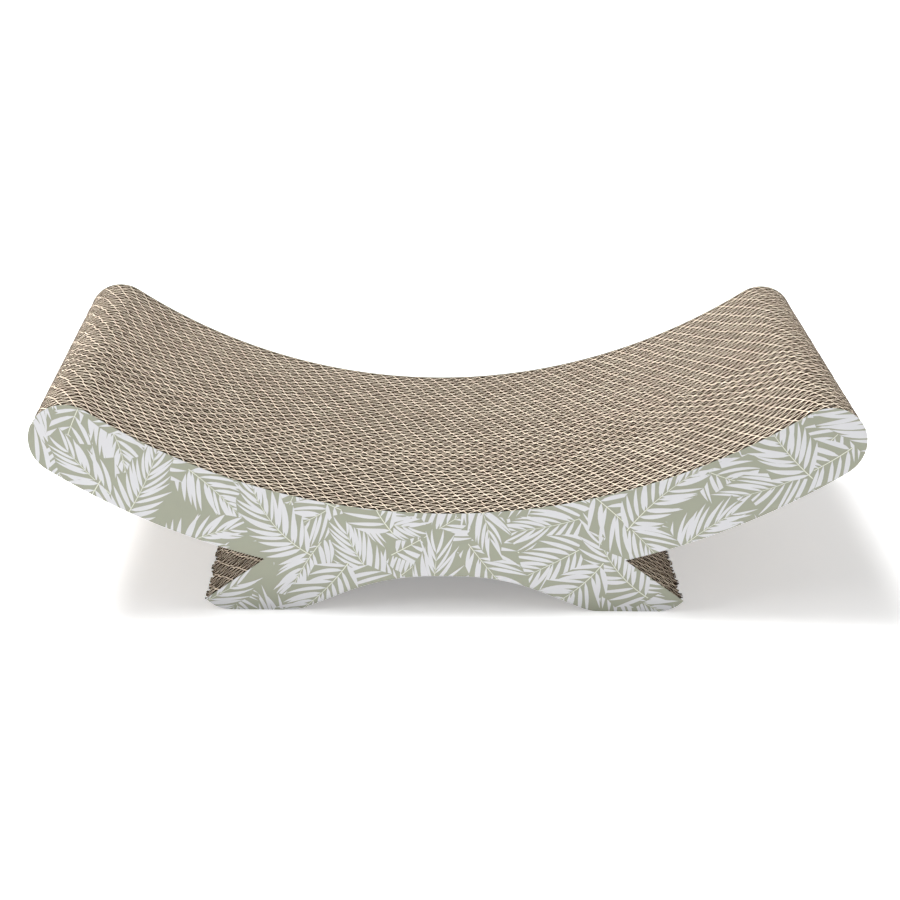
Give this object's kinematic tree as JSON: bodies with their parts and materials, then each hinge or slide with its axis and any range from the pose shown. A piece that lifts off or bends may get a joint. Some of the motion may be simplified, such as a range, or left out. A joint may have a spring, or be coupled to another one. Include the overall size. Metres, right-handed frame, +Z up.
{
  "type": "cardboard cat scratcher",
  "caption": "Curved lounge-style cat scratcher: a stack of die-cut corrugated cardboard boards on edge, with raised round ends, two flared feet and printed outer covers.",
  "frame": {"origin": "on the floor, under the middle of the bed in length and depth", "axes": "+X along the length of the bed, +Y from the front cover to the rear cover, +Z up"},
  "size_m": [0.4428, 0.2048, 0.1207],
  "materials": {
    "kraft_board": "raw brown corrugated board, matt, with its cut fluted edges open at the seat, the ends and the underside",
    "printed_paper": "matt printed paper liner in sage with pale fronds"
  },
  "bodies": {
    "root": {"front_cover": "printed_paper", "board_01": "kraft_board", "board_02": "kraft_board", "board_03": "kraft_board", "board_04": "kraft_board", "board_05": "kraft_board", "board_06": "kraft_board", "board_07": "kraft_board", "board_08": "kraft_board", "board_09": "kraft_board", "board_10": "kraft_board", "board_11": "kraft_board", "board_12": "kraft_board", "board_13": "kraft_board", "board_14": "kraft_board", "board_15": "kraft_board", "board_16": "kraft_board", "board_17": "kraft_board", "board_18": "kraft_board", "board_19": "kraft_board", "board_20": "kraft_board", "board_21": "kraft_board", "board_22": "kraft_board", "board_23": "kraft_board", "board_24": "kraft_board", "board_25": "kraft_board", "board_26": "kraft_board", "board_27": "kraft_board", "board_28": "kraft_board", "board_29": "kraft_board", "board_30": "kraft_board", "board_31": "kraft_board", "board_32": "kraft_board", "board_33": "kraft_board", "board_34": "kraft_board", "board_35": "kraft_board", "board_36": "kraft_board", "board_37": "kraft_board", "board_38": "kraft_board", "board_39": "kraft_board", "board_40": "kraft_board", "board_41": "kraft_board", "board_42": "kraft_board", "board_43": "kraft_board", "board_44": "kraft_board", "board_45": "kraft_board", "board_46": "kraft_board", "board_47": "kraft_board", "board_48": "kraft_board", "board_49": "kraft_board", "board_50": "kraft_board", "board_51": "kraft_board", "rear_cover": "printed_paper"}
  },
  "joints": []
}
